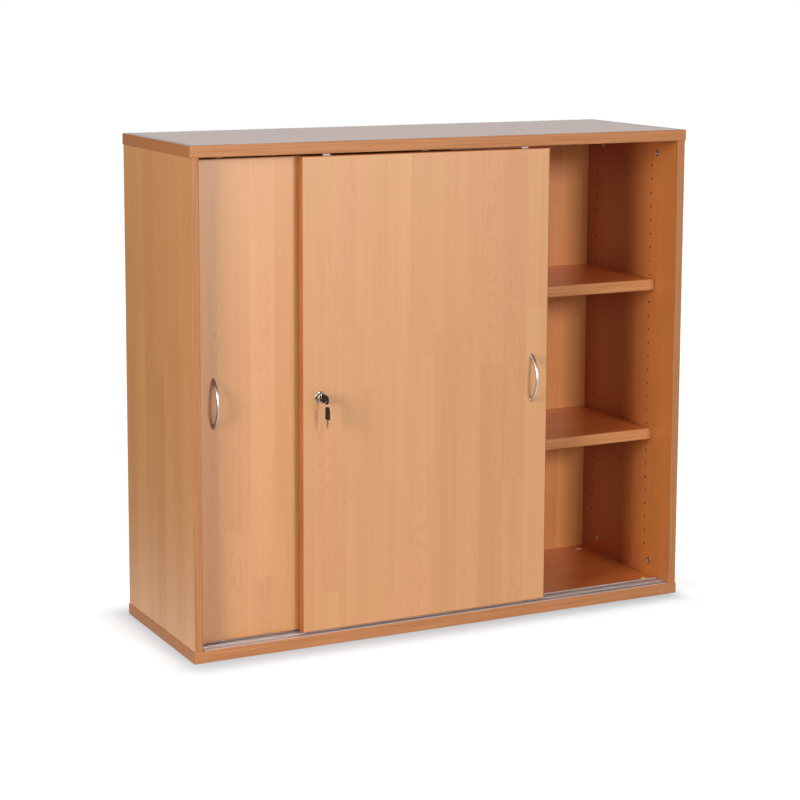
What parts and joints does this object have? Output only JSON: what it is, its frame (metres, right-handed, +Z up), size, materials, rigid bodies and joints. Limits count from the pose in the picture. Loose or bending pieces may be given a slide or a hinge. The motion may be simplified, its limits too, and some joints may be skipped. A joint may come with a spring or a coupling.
{
  "type": "sliding door cabinet",
  "caption": "Low laminate cabinet with two sliding doors on a double track, adjustable shelves behind them, bow handles and a push-in cylinder lock with its keys.",
  "frame": {"origin": "on the floor under the feet, at the middle of the object's width and depth, the keys that stand out in front included", "axes": "+X across the cabinet to the right as seen from the front, +Y from the front to the back, +Z up"},
  "size_m": [1.2, 0.437, 1.082],
  "materials": {
    "laminate": "beech-decor melamine laminate, fine vertical grain, semi-matt",
    "edging": "beech-decor edging strip, satin, slightly rounded",
    "zinc_plated": "bright zinc plating",
    "dowel": "fluted beech, unfinished",
    "foot_plastic": "black moulded plastic",
    "cap_plastic": "pale beige moulded plastic",
    "track_plastic": "brown extruded plastic",
    "aluminium": "natural anodised, satin, drawn along its length",
    "guide_plastic": "light grey moulded plastic",
    "roller_plastic": "white moulded plastic",
    "satin_nickel": "satin nickel plating on die-cast zinc",
    "polished_nickel": "bright nickel plating",
    "key_plastic": "black moulded plastic"
  },
  "bodies": {
    "cabinet": {"top_panel": "laminate", "bottom_panel": "laminate", "left_side_panel": "laminate", "right_side_panel": "laminate", "centre_partition": "laminate", "back_panel": "laminate", "top_edging": "edging", "bottom_edging": "edging", "side_edging": "edging", "partition_edging": "edging", "lower_left_shelf": "laminate", "upper_left_shelf": "laminate", "lower_right_shelf": "laminate", "upper_right_shelf": "laminate", "shelf_edging": "edging", "shelf_supports": "zinc_plated", "cam_locks": "zinc_plated", "cam_bolts": "zinc_plated", "wood_dowels": "dowel", "back_dowels": "dowel", "foot_sleeves": "foot_plastic", "foot_caps": "cap_plastic", "top_track": "track_plastic", "bottom_track": "aluminium", "track_screws": "zinc_plated"},
    "rear_door": {"rear_door_panel": "laminate", "rear_door_edging": "edging", "rear_door_guides": "guide_plastic", "rear_roller_housings": "guide_plastic", "rear_roller_axles": "zinc_plated", "rear_door_handle": "satin_nickel", "rear_handle_screws": "zinc_plated"},
    "front_door": {"front_door_panel": "laminate", "front_door_edging": "edging", "front_door_guides": "guide_plastic", "front_roller_housings": "guide_plastic", "front_roller_axles": "zinc_plated", "front_door_handle": "satin_nickel", "front_handle_screws": "zinc_plated", "lock_housing": "polished_nickel", "lock_spring": "zinc_plated", "lock_plate": "zinc_plated", "lock_screws": "zinc_plated"},
    "lock_plunger": {"lock_barrel": "polished_nickel", "lock_bolt": "polished_nickel"},
    "key": {"lock_core": "polished_nickel", "key_head": "key_plastic", "key_blade": "polished_nickel"},
    "ring": {"key_ring": "polished_nickel"},
    "spare_key": {"spare_key_head": "key_plastic", "spare_key_blade": "polished_nickel"},
    "front_left_roller": {"front_left_roller": "roller_plastic"},
    "front_right_roller": {"front_right_roller": "roller_plastic"},
    "rear_left_roller": {"rear_left_roller": "roller_plastic"},
    "rear_right_roller": {"rear_right_roller": "roller_plastic"},
    "foot_front_left": {"foot_front_left": "foot_plastic"},
    "foot_back_left": {"foot_back_left": "foot_plastic"},
    "foot_front_right": {"foot_front_right": "foot_plastic"},
    "foot_back_right": {"foot_back_right": "foot_plastic"}
  },
  "joints": [
    {"name": "rear_door_slide", "type": "slide", "parent": "cabinet", "child": "rear_door", "axis": [1, 0, 0], "range_m": [0, 0.183]},
    {"name": "front_door_slide", "type": "slide", "parent": "cabinet", "child": "front_door", "axis": [1, 0, 0], "range_m": [-0.183, 0.33]},
    {"name": "lock_push", "type": "slide", "parent": "front_door", "child": "lock_plunger", "axis": [0, 1, 0], "range_m": [0, 0.0095], "stiffness_N_per_m": 400, "springref_m": -0.004, "deforming": ["lock_spring"]},
    {"name": "key_turn", "type": "hinge", "parent": "lock_plunger", "child": "key", "pos_m": [-0.307, -0.17152, 0.54165], "axis": [0, 1, 0], "range_deg": [0, 90]},
    {"name": "ring_swing", "type": "hinge", "parent": "key", "child": "ring", "pos_m": [-0.307, -0.20898, 0.53932], "axis": [-1, 0, 0], "range_deg": [-12, 40]},
    {"name": "spare_key_hang", "type": "hinge", "parent": "ring", "child": "spare_key", "pos_m": [-0.307, -0.20898, 0.53182], "axis": [0, 1, 0], "range_deg": [-90, 0]},
    {"name": "front_left_roller_spin", "type": "hinge", "parent": "front_door", "child": "front_left_roller", "pos_m": [-0.288, -0.16252, 0.0385], "axis": [0, 1, 0], "continuous": true},
    {"name": "front_right_roller_spin", "type": "hinge", "parent": "front_door", "child": "front_right_roller", "pos_m": [0.189, -0.16252, 0.0385], "axis": [0, 1, 0], "continuous": true},
    {"name": "rear_left_roller_spin", "type": "hinge", "parent": "rear_door", "child": "rear_left_roller", "pos_m": [-0.519, -0.13452, 0.0385], "axis": [0, 1, 0], "continuous": true},
    {"name": "rear_right_roller_spin", "type": "hinge", "parent": "rear_door", "child": "rear_right_roller", "pos_m": [-0.042, -0.13452, 0.0385], "axis": [0, 1, 0], "continuous": true},
    {"name": "foot_front_left_adjust", "type": "slide", "parent": "cabinet", "child": "foot_front_left", "axis": [0, 0, -1], "range_m": [0, 0.008]},
    {"name": "foot_back_left_adjust", "type": "slide", "parent": "cabinet", "child": "foot_back_left", "axis": [0, 0, -1], "range_m": [0, 0.008]},
    {"name": "foot_front_right_adjust", "type": "slide", "parent": "cabinet", "child": "foot_front_right", "axis": [0, 0, -1], "range_m": [0, 0.008]},
    {"name": "foot_back_right_adjust", "type": "slide", "parent": "cabinet", "child": "foot_back_right", "axis": [0, 0, -1], "range_m": [0, 0.008]}
  ],
  "couplings": [
    {"joint": "spare_key_hang", "follows": "key_turn", "ratio": -1},
    {"joint": "front_left_roller_spin", "follows": "front_door_slide", "rad_per_m": 125},
    {"joint": "front_right_roller_spin", "follows": "front_door_slide", "rad_per_m": 125},
    {"joint": "rear_left_roller_spin", "follows": "rear_door_slide", "rad_per_m": 125},
    {"joint": "rear_right_roller_spin", "follows": "rear_door_slide", "rad_per_m": 125}
  ]
}
